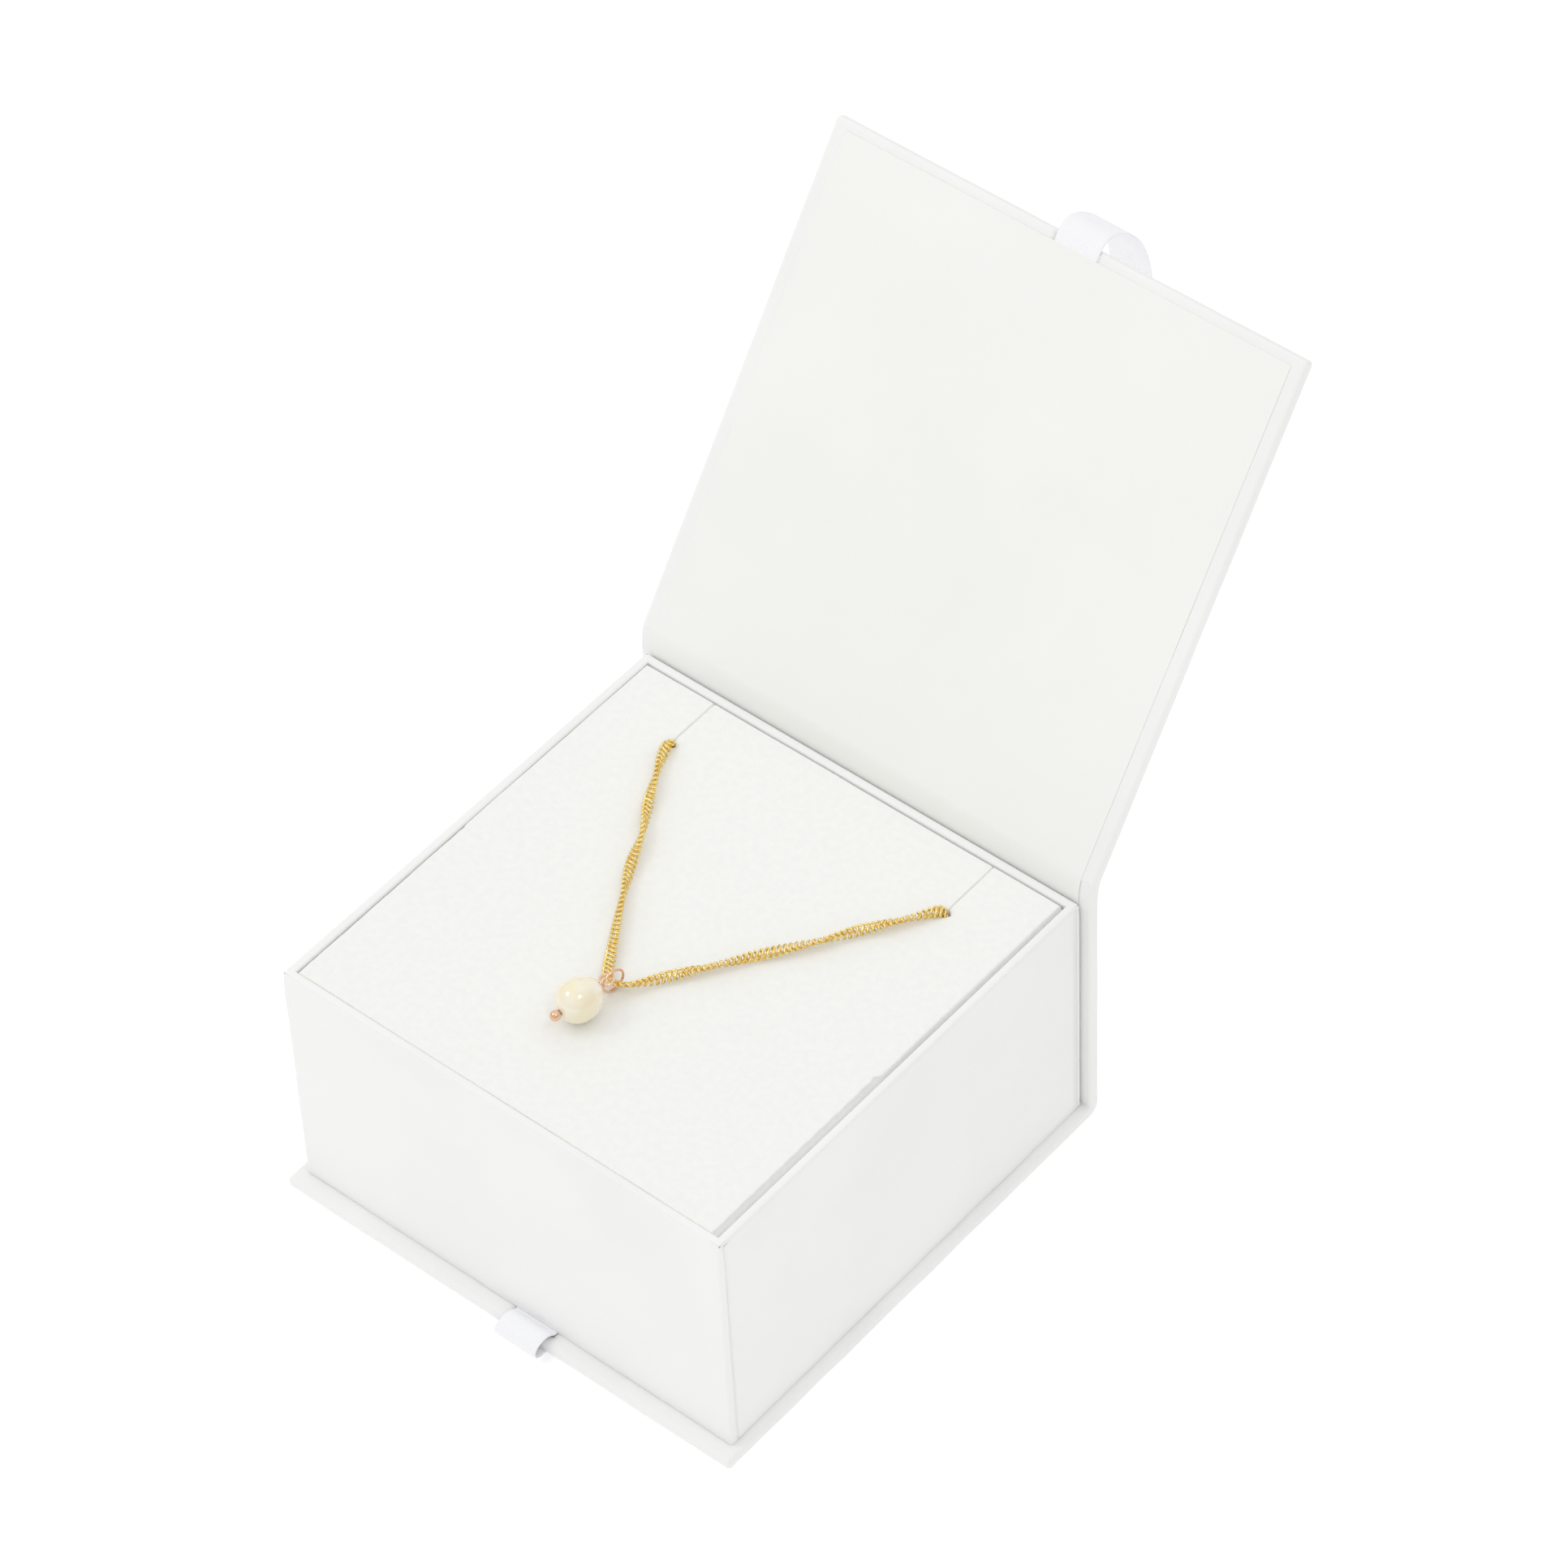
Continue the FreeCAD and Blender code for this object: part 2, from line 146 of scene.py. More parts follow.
def roundedBox(name, lo, hi, r, step, material, change=None, extra=((), (), ()), step2=None):
    # Box with rounded edges: a point of the box surface is drawn to the inner box, then moved out again
    # by the radius along the line between the two
    lo, hi = np.array(lo, float), np.array(hi, float)
    r = min(r, 0.49 * (hi - lo).min())
    steps = step2 or (step,) * 3
    lines = [edgeLines(lo[k], hi[k], r, steps[k], extra[k]) for k in range(3)]
    points, faces, start = [], [], 0
    for k in range(3):
        u, v = [a for a in range(3) if a != k]
        for side in (lo[k], hi[k]):
            gu, gv = np.meshgrid(lines[u], lines[v], indexing="ij")
            q = np.zeros(gu.shape + (3,))
            q[..., u], q[..., v], q[..., k] = gu, gv, side
            points.append(q.reshape(-1, 3))
            faces.append(gridFaces(*gu.shape) + start)
            start += gu.size
    q = np.concatenate(points)
    inner = np.clip(q, lo + r, hi - r)
    out = q - inner
    out /= np.linalg.norm(out, axis=1)[:, None]
    p = inner + out * r
    if change:
        p = change(p, out)
    return outward(addMesh(name, p, np.concatenate(faces), material))


def groove(obj, through, normal, lo, hi, width=0.12, depth=0.08):
    # a fine seam: the faces inside the box lo..hi are cut by three planes and the middle cut sinks
    bm = bmesh.new()
    bm.from_mesh(obj.data)
    n = Vector(normal).normalized()
    for shift in (-width / 2, 0, width / 2):
        near = [f for f in bm.faces
                if all(lo[k] * mm <= f.calc_center_median()[k] <= hi[k] * mm for k in range(3))]
        geom = list({e for f in near for e in f.edges} | {v for f in near for v in f.verts}) + near
        at = (Vector(through) + n * shift) * mm
        cut = bmesh.ops.bisect_plane(bm, geom=geom, plane_co=at, plane_no=n, dist=1e-8)
        if shift == 0:
            middle = [g for g in cut["geom_cut"] if isinstance(g, bmesh.types.BMVert)]
    bm.normal_update()
    for vert in middle:
        vert.co -= vert.normal * depth * mm
    bm.to_mesh(obj.data)
    bm.free()
    return obj


def tube(name, line, radius, material, sides=12, closed=False, ends=True):
    # Round section of the radius carried along a line, turned as little as it can be
    line = np.asarray(line, float)
    ring = frames(line, closed)
    a = np.linspace(0, 2 * math.pi, sides, endpoint=False)
    radius = np.broadcast_to(radius, len(line))[:, None, None]
    roundOff = np.cos(a)[:, None] * ring[0][:, None] + np.sin(a)[:, None] * ring[1][:, None]
    p = line[:, None] + radius * roundOff
    faces = gridFaces(len(line), sides, wrapU=closed, wrapV=True).tolist()
    if ends and not closed:
        faces += [list(range(sides)), list(range(len(line) * sides - sides, len(line) * sides))]
    return outward(addMesh(name, p.reshape(-1, 3), faces, material))


def frames(line, closed=False, up=(0, 0, 1)):
    # two directions square to the line at each point, the first as level as it can be
    if closed:
        along = np.roll(line, -1, 0) - np.roll(line, 1, 0)
    else:
        along = np.gradient(line, axis=0)
    along /= np.linalg.norm(along, axis=1)[:, None]
    side = np.cross(along, up)
    last = np.array([1.0, 0, 0])
    for i in range(len(line)):
        near = side[i] if np.linalg.norm(side[i]) > 0.35 else last - along[i] * (last @ along[i])
        near = near / np.linalg.norm(near)
        last = near if near @ last >= 0 or i == 0 else near
        side[i] = last
    return side, np.cross(side, along), along


def splinePoints(name, route, degree=3):
    # points of a smooth NURBS line whose control points are the route's
    curve = bpy.data.curves.new(name, "CURVE")
    curve.dimensions = "3D"
    curve.resolution_u = 24
    spline = curve.splines.new("NURBS")
    spline.points.add(len(route) - 1)
    for point, at in zip(spline.points, route):
        point.co = (at[0] * mm, at[1] * mm, at[2] * mm, 1)
    spline.order_u = degree
    spline.use_endpoint_u = True
    holder = bpy.data.objects.new(name, curve)
    mesh = bpy.data.meshes.new_from_object(holder)
    line = np.array([v.co for v in mesh.vertices]) / mm
    bpy.data.objects.remove(holder)
    bpy.data.meshes.remove(mesh)
    keep = np.r_[True, np.linalg.norm(np.diff(line, axis=0), axis=1) > 1e-4]
    return line[keep]


def evenly(line, spacing):
    # the line again with points this far apart, and how far along each is
    along = np.r_[0, np.cumsum(np.linalg.norm(np.diff(line, axis=0), axis=1))]
    count = int(round(along[-1] / spacing)) + 1
    s = np.linspace(0, along[-1], count)
    return np.stack([np.interp(s, along, line[:, k]) for k in range(3)], 1), s


# materials
def linear(code):
    c = np.array([int(code[i:i + 2], 16) / 255 for i in (1, 3, 5)])
    return tuple(np.where(c <= 0.04045, c / 12.92, ((c + 0.055) / 1.055) ** 2.4)) + (1.0,)


def addNode(tree, kind, settings=None, links=None):
    node = tree.nodes.new(kind)
    for key, value in (settings or {}).items():
        if isinstance(key, int) or key in node.inputs:
            node.inputs[key].default_value = value
        else:
            setattr(node, key, value)
    for key, source in (links or {}).items():
        tree.links.new(source, node.inputs[key])
    return node


def startMaterial(name, color, roughness, **more):
    mat = bpy.data.materials.new(name)
    mat.use_nodes = True
    tree = mat.node_tree
    shader = tree.nodes["Principled BSDF"]
    shader.inputs["Base Color"].default_value = linear(color)
    shader.inputs["Roughness"].default_value = roughness
    for key, value in more.items():
        shader.inputs[key.replace("_", " ")].default_value = value
    place = addNode(tree, "ShaderNodeTexCoord").outputs["Object"]
    return mat, tree, shader, place


def mottle(tree, place, scale, low, high, detail=3.0):
    # a colour that drifts between two close tones
    noise = addNode(tree, "ShaderNodeTexNoise", {"Scale": scale, "Detail": detail}, {"Vector": place})
    ramp = addNode(tree, "ShaderNodeValToRGB", {}, {"Fac": noise.outputs["Fac"]})
    ramp.color_ramp.elements[0].position = 0.35
    ramp.color_ramp.elements[1].position = 0.65
    ramp.color_ramp.elements[0].color = linear(low)
    ramp.color_ramp.elements[1].color = linear(high)
    return ramp.outputs["Color"]


def bumpOf(tree, shader, height, strength, distance):
    bump = addNode(tree, "ShaderNodeBump", {"Strength": strength, "Distance": distance * mm},
                   {"Height": height})
    tree.links.new(bump.outputs["Normal"], shader.inputs["Normal"])
    return bump


def perMetre(sizeMm):
    return 1000.0 / sizeMm


def paperMaterial(name, low, high, roughness, fibre=0.35, strength=0.1):
    # wood-free printing paper, calendered and glued down: matt white with a faint fibre tooth
    mat, tree, shader, place = startMaterial(name, high, roughness, Specular_IOR_Level=0.32)
    tree.links.new(mottle(tree, place, perMetre(22), low, high), shader.inputs["Base Color"])
    tooth = addNode(tree, "ShaderNodeTexNoise", {"Scale": perMetre(fibre), "Detail": 4.0}, {"Vector": place})
    ripple = addNode(tree, "ShaderNodeTexNoise", {"Scale": perMetre(9), "Detail": 1.0}, {"Vector": place})
    mixed = addNode(tree, "ShaderNodeMath", {"operation": "ADD"},
                    {0: tooth.outputs["Fac"], 1: ripple.outputs["Fac"]})
    bumpOf(tree, shader, mixed.outputs[0], strength, 0.06)
    return mat


def foamMaterial(name):
    # soft open-cell polyurethane foam, sliced: very matt, pricked all over with fine cells
    mat, tree, shader, place = startMaterial(name, "#F6F6F3", 0.95, Specular_IOR_Level=0.1)
    shader.inputs["Sheen Weight"].default_value = 0.15
    shader.inputs["Sheen Roughness"].default_value = 0.6
    tree.links.new(mottle(tree, place, perMetre(1.1), "#F5F6F3", "#F8F8F5", 5.0), shader.inputs["Base Color"])
    cells = addNode(tree, "ShaderNodeTexVoronoi", {"Scale": perMetre(0.34)}, {"Vector": place})
    bumpOf(tree, shader, cells.outputs["Distance"], 0.12, 0.1)
    return mat


def ribbonMaterial(name):
    # woven polyester grosgrain: cool white with a slight thread sheen; the ribs are in the mesh
    mat, tree, shader, place = startMaterial(name, "#FAFAFD", 0.6, Specular_IOR_Level=0.35)
    shader.inputs["Sheen Weight"].default_value = 0.25
    thread = addNode(tree, "ShaderNodeTexNoise", {"Scale": perMetre(0.16), "Detail": 2.0}, {"Vector": place})
    bumpOf(tree, shader, thread.outputs["Fac"], 0.12, 0.03)
    return mat


def boardMaterial(name):
    # greyboard, pressed from waste paper: warm grey with dark and light fibre flecks
    mat, tree, shader, place = startMaterial(name, "#A39C92", 0.9)
    tree.links.new(mottle(tree, place, perMetre(0.8), "#8E877D", "#ADA69B", 6.0), shader.inputs["Base Color"])
    fleck = addNode(tree, "ShaderNodeTexNoise", {"Scale": perMetre(0.4), "Detail": 5.0}, {"Vector": place})
    bumpOf(tree, shader, fleck.outputs["Fac"], 0.3, 0.08)
    return mat


def kraftMaterial(name):
    # unbleached kraft tape: brown with long faint fibres
    mat, tree, shader, place = startMaterial(name, "#B98F60", 0.75)
    tree.links.new(mottle(tree, place, perMetre(1.5), "#A87F52", "#C39A6A", 6.0), shader.inputs["Base Color"])
    return mat


def metalMaterial(name, low, high, roughness, scale=0.9):
    # plated brass, tumbled bright: the tone drifts a little, so that each link has its own
    mat, tree, shader, place = startMaterial(name, high, roughness, Metallic=1.0)
    tree.links.new(mottle(tree, place, perMetre(scale), low, high), shader.inputs["Base Color"])
    return mat


def pearlMaterial(name):
    # freshwater pearl, polished nacre: ivory with a soft inner glow and a faint pink and green play
    mat, tree, shader, place = startMaterial(name, "#FCF3DF", 0.16, Specular_IOR_Level=0.6)
    shader.inputs["Coat Weight"].default_value = 1.0
    shader.inputs["Coat IOR"].default_value = 1.8
    shader.inputs["Coat Roughness"].default_value = 0.09
    shader.inputs["Subsurface Weight"].default_value = 0.25
    shader.inputs["Subsurface Radius"].default_value = (0.9, 0.7, 0.5)
    shader.inputs["Subsurface Scale"].default_value = 0.001
    tree.links.new(mottle(tree, place, perMetre(3.0), "#F9ECCC", "#FDF5E1", 2.0), shader.inputs["Base Color"])
    return mat


wrapPaper = paperMaterial("calenderedWrapPaper", "#F5F5F4", "#F8F8F7", 0.55)
linerPaper = paperMaterial("matteLinerPaper", "#F6F6F3", "#F8F8F5", 0.62, fibre=0.45)
foam = foamMaterial("slicedPolyurethaneFoam")
grosgrain = ribbonMaterial("wovenGrosgrain")
greyboard = boardMaterial("pressedGreyboard")
kraft = kraftMaterial("kraftStayTape")
gold = metalMaterial("goldPlatedBrass", "#FDD574", "#FFEEA8", 0.2)
roseGold = metalMaterial("roseGoldWire", "#F0C2A0", "#FAD9C0", 0.14, 4.0)
nacre = pearlMaterial("polishedNacre")
for node, obj in frame["nodes"].items():
    slotOf = next(s["material_slot"] for s in frame["record"]["subparts"] if s["node"] == node)
    mat = {"greyboard": greyboard, "white_wrap_paper": wrapPaper, "white_liner_paper": linerPaper,
           "kraft_stay_paper": kraft, "white_foam": foam, "grosgrain_ribbon": grosgrain,
           "gold_chain_metal": gold, "rose_gold_metal": roseGold, "pearl_nacre": nacre}[slotOf]
    obj.data.materials.clear()
    obj.data.materials.append(mat)
print("materials done")


# the case: base, spine and lid in one paper
channelHalf = 3.62   # half the width of the pressed channels that the ribbons lie in
channelLines = (-3.64, -3.6, 3.6, 3.64)


def paperEdge(amount, seed):
    # board under paper is never quite flat: the whole skin moves along its normal by a few hundredths
    def change(p, out):
        return p + out * (amount * waves(p, 14, seed))[:, None]
    return change


def baseChange(p, out):
    # channels for the ribbon under the base and under the tray, and a flat underside
    p = paperEdge(0.035, 3)(p, out)
    inLine = np.abs(p[:, 0] - ribbonX["base"]) < channelHalf
    p[inLine & (p[:, 1] < clothHi[1] + 0.3) & (p[:, 2] < 0.4), 2] = 0.41
    underTray = inLine & (p[:, 2] > caseT - 0.4)
    underTray &= (p[:, 1] > trayLo[1] - 0.9) & (p[:, 1] < trayLo[1] + 8.1)
    p[underTray, 2] = caseT - 0.39
    p[:, 2] = np.maximum(p[:, 2], 0)
    return p


ribbonX = {"lid": (boxOf("lid_ribbon")[0][0] + boxOf("lid_ribbon")[1][0]) / 2,
           "base": (clothLo[0] + clothHi[0]) / 2}
sideLines = [ribbonX["base"] + d for d in channelLines]
channelEnds = [clothHi[1] + 0.28, clothHi[1] + 0.32, trayLo[1] - 0.92, trayLo[1] - 0.88,
               trayLo[1] + 8.08, trayLo[1] + 8.12]
baseSkin = roundedBox("baseWrapPaper", baseLo, [halfW, baseHi[1] + 0.3, caseT], 0.62, 1.6, wrapPaper,
                      baseChange, (sideLines, channelEnds, ()))
for sx in (-1, 1):   # mitred turn-in at the two front corners, on top and down the edge
    corner = (sx * halfW, frontY, caseT)
    groove(baseSkin, corner, (sx, -0.92, 0), [min(sx * (halfW - 4), sx * (halfW + 1)), frontY - 1, 0.5],
           [max(sx * (halfW - 4), sx * (halfW + 1)), frontY + 4, caseT + 1], 0.24, 0.16)
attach(baseSkin, "base")
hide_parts("base_wrap")

spineSkin = roundedBox("spineWrapPaper", spineLo - [0, 0, 0.4], spineHi, 0.6, 2.0, wrapPaper,
                       paperEdge(0.03, 5))
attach(spineSkin, "base")
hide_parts("spine_wrap")


def bentBlock(name, inLine, outLine, halfWidth, r, material):
    # Rounded box whose length follows two lines in the YZ plane: its inner and its outer face
    gap = np.linalg.norm(outLine - inLine, axis=1).mean()
    lengths = np.r_[0, np.cumsum(np.linalg.norm(np.diff(outLine, axis=0), axis=1))]

    def bend(p, out):
        far = np.stack([np.interp(p[:, 1], lengths, outLine[:, k]) for k in (0, 1)], 1)
        near = np.stack([np.interp(p[:, 1], lengths, inLine[:, k]) for k in (0, 1)], 1)
        share = (p[:, 2] / gap)[:, None]
        return np.concatenate([p[:, :1], near * (1 - share) + far * share], 1)

    return roundedBox(name, [-halfWidth, 0, 0], [halfWidth, lengths[-1], gap], r, 0.7, material, bend,
                      step2=(2.0, 0.25, 0.7))


foldR = spineLo[2]
turnOf = np.linspace(-math.pi / 2 - 0.5, 0.5, 40)
ringAt = np.clip(turnOf, -math.pi / 2, 0)
past = (turnOf - ringAt)[:, None] * foldR   # straight ends that reach into the base and the spine
roundFold = np.stack([backY - foldR + foldR * np.cos(ringAt), foldR + foldR * np.sin(ringAt)], 1)
straight = np.where(past < 0, past * [1.0, 0.0], past * [0.0, 1.0])
outFold = roundFold + straight
inFold = np.array([backY - foldR, foldR]) + 0.12 * (roundFold - [backY - foldR, foldR]) + straight
baseFold = bentBlock("baseFoldPaper", inFold, outFold, halfW - 0.02, 0.5, wrapPaper)
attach(baseFold, "base")
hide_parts("base_fold")


def lidChange(p, out):
    p = paperEdge(0.022, 8)(p, out)
    # the inner face is glued flat under the liner
    p[:, 2] = np.where(p[:, 2] < lidInZ + 0.1, np.maximum(p[:, 2], lidInZ), p[:, 2])
    inNotch = np.abs(p[:, 0] - ribbonX["lid"]) < channelHalf
    p[inNotch & (p[:, 2] < lidInZ + 0.4) & (p[:, 1] < frontY + 9.5), 2] = lidInZ + 0.4
    p[:, 2] = np.clip(p[:, 2], lidInZ - 0.02, lidOutZ + 0.02)
    return opened(p)


notchX = [ribbonX["lid"] + d for d in channelLines]
lidSkin = roundedBox("lidWrapPaper", [-halfW, frontY, lidInZ], [halfW, lidBack, lidOutZ], 0.6, 1.8, wrapPaper,
                     lidChange, (notchX, [frontY + 9.48, frontY + 9.52], ()))
dirLid = opened([0, frontY, lidInZ]) - opened([0, lidBack, lidInZ])
dirLid /= np.linalg.norm(dirLid)
for sx in (-1, 1):   # mitres at the lid's free corners
    corner = opened([sx * halfW, frontY, lidInZ])
    near = opened([sx * halfW, frontY + 4, lidInZ])
    lo = np.minimum(corner, near) - [4 if sx > 0 else 1, 1.2, 1.2]
    hi = np.maximum(corner, near) + [1 if sx > 0 else 4, 1.2, 1.2]
    groove(lidSkin, corner, tuple(np.array([sx, 0, 0]) + 0.75 * dirLid), lo, hi, 0.24, 0.16)
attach(lidSkin, "lid")
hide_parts("lid_wrap")


def softBend(start, startDir, end, endDir, rows):
    # quadratic curve whose ends leave along the two papers it joins
    start, end, startDir, endDir = (np.array(v, float) for v in (start, end, startDir, endDir))
    k = np.linalg.solve(np.stack([startDir, -endDir], 1), end - start)
    middle = start + startDir * k[0]
    t = np.linspace(0, 1, rows)[:, None]
    return start * (1 - t) ** 2 + 2 * middle * t * (1 - t) + end * t ** 2


def bentStrip(name, line, halfWidth, material, thickness, offset):
    # Sheet carried along a line in the YZ plane, with close lines at its edges to keep them crisp
    close = 0.04
    way = np.diff(line, axis=0)[[0, -1]]
    way = way / np.linalg.norm(way, axis=1)[:, None] * close
    line = np.concatenate([line[:1], line[:1] + way[:1], line[1:-1], line[-1:] - way[1:], line[-1:]])
    x = np.linspace(-halfWidth, halfWidth, 40)
    x = np.concatenate([x[:1], x[:1] + close, x[1:-1], x[-1:] - close, x[-1:]])
    gy, gx = np.meshgrid(line[:, 0], x, indexing="ij")
    gz = np.broadcast_to(line[:, 1:], gx.shape)
    obj = addMesh(name, np.stack([gx, gy, gz], -1).reshape(-1, 3), gridFaces(*gx.shape), material)
    thick = obj.modifiers.new("paper", "SOLIDIFY")
    thick.thickness = thickness * mm
    thick.offset = offset
    return obj


spineTop = spineHi[2]
spineIn = spineLo[1]
lidDir = dirLid[1:]
inner = opened([0, lidBack, lidInZ])[1:]
outer = opened([0, lidBack, lidOutZ])[1:]
freeEdge = opened([0, frontY + lid["linerFront"], lidInZ])[1:]
lidLength = np.linalg.norm(freeEdge - inner)
linerHalf = halfW - lid["linerSide"]
faceOut = opened([0, 0, -1])[1:] - opened([0, 0, 0])[1:]   # out of the open lid's inner face
bend = softBend((spineIn - 0.03, spineTop - 0.9), (0, 1), inner + lidDir * 0.9 + faceOut * 0.015, lidDir, 18)
lower = np.array([[spineIn - 0.03, z] for z in np.linspace(boxOf("spine_liner")[0][2], spineTop - 1.6, 8)])
upper = bend[-1] + lidDir * np.linspace(0, lidLength - 0.9, 40)[1:, None]
linerSheet = bentStrip("linerSheet", np.concatenate([lower, bend, upper]), linerHalf, linerPaper, 0.06, -1)
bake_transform(linerSheet)
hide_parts("lid_liner", "spine_liner", "hinge_liner")

tuckIn = 1.1   # how far the turned-in wrap at the joint reaches into spine and lid
hingeIn = softBend((spineIn + 0.02, spineTop - tuckIn), (0, 1),
                   inner + lidDir * tuckIn - faceOut * 0.02, lidDir, 30)
hingeOut = softBend((backY - 0.01, spineTop - tuckIn), (0, 1),
                    outer + lidDir * tuckIn + faceOut * 0.01, lidDir, 30)
hingeStrip = bentBlock("hingeWrapPaper", hingeIn, hingeOut, halfW - 0.02, 0.5, wrapPaper)
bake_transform(hingeStrip)
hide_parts("hinge_wrap")
print("case done")


# the tray's covering paper
tray = {"wall": 1.4, "rimOuter": 0.55, "rimInner": 0.35, "corner": 0.55, "turnIn": 12.0, "under": 10.0,
        "paper": 0.11}


def trayProfile():
    # distance in from the outer face, and height: under, up the outside, over the rim, down inside
    z0, z1, w = trayLo[2], trayHi[2], tray["wall"]
    a = np.linspace(0, math.pi / 2, 7)
    ro, ri = tray["rimOuter"], tray["rimInner"]
    under = [(tray["under"], z0), (4.0, z0), (0.35, z0), (0.1, z0 + 0.1)]
    side = [(0, z) for z in np.linspace(z0 + 0.35, z1 - ro - 0.4, 28)]
    rim = [(ro - ro * math.cos(t), z1 - ro + ro * math.sin(t)) for t in a]
    over = [(w - ri + ri * math.sin(t), z1 - ri + ri * math.cos(t)) for t in a]
    down = [(w, z) for z in np.linspace(z1 - ri - 0.5, z1 - tray["turnIn"], 8)]
    return np.array(under + side + rim + over + down)


def trayPath():
    # plan of the tray: straight sides and quarter-round corners, with how square each corner is
    points = []
    for cx, cy, a0 in ((1, -1, -90), (1, 1, 0), (-1, 1, 90), (-1, -1, 180)):
        for a in np.radians(np.linspace(a0, a0 + 90, 7)):
            points.append((cx, cy, math.cos(a), math.sin(a)))
        nxt = {(1, -1): (1, 1), (1, 1): (-1, 1), (-1, 1): (-1, -1), (-1, -1): (1, -1)}[cx, cy]
        a = math.radians(a0 + 90)
        for t in np.linspace(0, 1, 46)[1:-1]:
            points.append((cx + (nxt[0] - cx) * t, cy + (nxt[1] - cy) * t, math.cos(a), math.sin(a)))
    return np.array(points)


def makeTray():
    # Profile carried round the plan: at depth d the corner radius shrinks by d, down to nothing
    profile, path = trayProfile(), trayPath()
    half = (trayHi[:2] - trayLo[:2]) / 2
    mid = (trayHi[:2] + trayLo[:2]) / 2
    d = profile[:, 0][:, None]
    r = np.maximum(tray["corner"] - d, 0.0)
    inset = np.maximum(d, tray["corner"])
    x = mid[0] + path[:, 0] * (half[0] - inset) + path[:, 2] * r
    y = mid[1] + path[:, 1] * (half[1] - inset) + path[:, 3] * r
    z = np.broadcast_to(profile[:, 1][:, None], x.shape)
    p = np.stack([x, y, z], -1).reshape(-1, 3)
    wave = waves(p, 17, 11) * 0.04
    middle = np.array([mid[0], mid[1], 0])
    way = np.sign(p - middle) * np.stack([np.abs(p[:, 0] - mid[0]) > half[0] - 1.5,
                                          np.abs(p[:, 1] - mid[1]) > half[1] - 1.5, np.zeros(len(p))], 1)
    fade = np.clip((trayHi[2] - 0.2 - p[:, 2]) / 3, 0, 1)   # the rim itself is straight
    p = p + way * ((0.05 + np.abs(wave)) * fade)[:, None]
    obj = addMesh("trayWrapPaper", p, gridFaces(*x.shape, wrapV=True), wrapPaper)
    outward(obj)
    return obj


traySkin = makeTray()
# the wrap's upright seam just round the near corner, and those at the other corners
seams = [(trayHi[0], trayLo[1] + 0.75, 0.012), (trayLo[0], trayLo[1] + 0.8, -0.01),
         (trayLo[0], trayHi[1] - 0.8, 0.01), (trayHi[0], trayHi[1] - 0.8, 0)]
for sx, sy, lean in seams:
    groove(traySkin, (sx, sy, 43), (0, 1, lean), [sx - 0.3, sy - 2.2, 2.2], [sx + 0.3, sy + 2.2, 42.6],
           0.26, 0.16)
thick = traySkin.modifiers.new("paper", "SOLIDIFY")
thick.thickness = tray["paper"] * mm
thick.offset = -1
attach(traySkin, "base")
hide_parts("tray_wrap")


def tuck(name, corner, sx, sy, size):
    # Folded paper at a rim corner: a low three-sided bump, highest where the two folds meet
    n = 14
    u, v = np.meshgrid(np.linspace(0, 1, n), np.linspace(0, 1, n), indexing="ij")
    x = u * size
    y = v * size * (1 - 0.55 * u)
    across, along = np.sin(math.pi * np.clip(u, 0, 1)), np.sin(math.pi * np.clip(v, 0, 1))
    h = 0.16 * across ** 0.5 * along ** 0.4 * (1 - 0.5 * u)
    p = np.stack([corner[0] - sx * x, corner[1] - sy * y, corner[2] - 0.08 + h], -1).reshape(-1, 3)
    obj = outward(addMesh(name, p, gridFaces(n, n), wrapPaper))
    thick = obj.modifiers.new("paper", "SOLIDIFY")
    thick.thickness = 0.1 * mm
    thick.offset = -1
    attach(obj, "base")
    return obj


tuck("rimTuckNear", (trayHi[0] - 0.25, trayLo[1] + 0.25, trayHi[2]), 1, -1, 1.5)
tuck("rimTuckFar", (trayLo[0] + 0.25, trayLo[1] + 0.25, trayHi[2]), -1, -1, 1.3)
tuck("rimTuckBack", (trayHi[0] - 0.25, trayHi[1] - 0.25, trayHi[2]), 1, 1, 1.3)
print("tray done")

# foam
pad = {"slitLeft": (-24.1, 26.3), "slitRight": (24.5, 25.3), "slit": 0.055, "edge": 0.32, "hole": 0.62,
       "nickY": -2.6, "nick": (0.14, 0.42), "tear": (0.1, 0.3), "gap": (0.12, 0.6), "depth": 11.5}


def sideAt(y, side):
    # how far in one of the foam's sides is: in front of a torn nick it is cut narrower
    t = 1 / (1 + np.exp((y - pad["nickY"]) / 0.12))
    return pad["nick"][side] * t + pad["tear"][side] * np.exp(-((y - pad["nickY"]) / 0.5) ** 2)


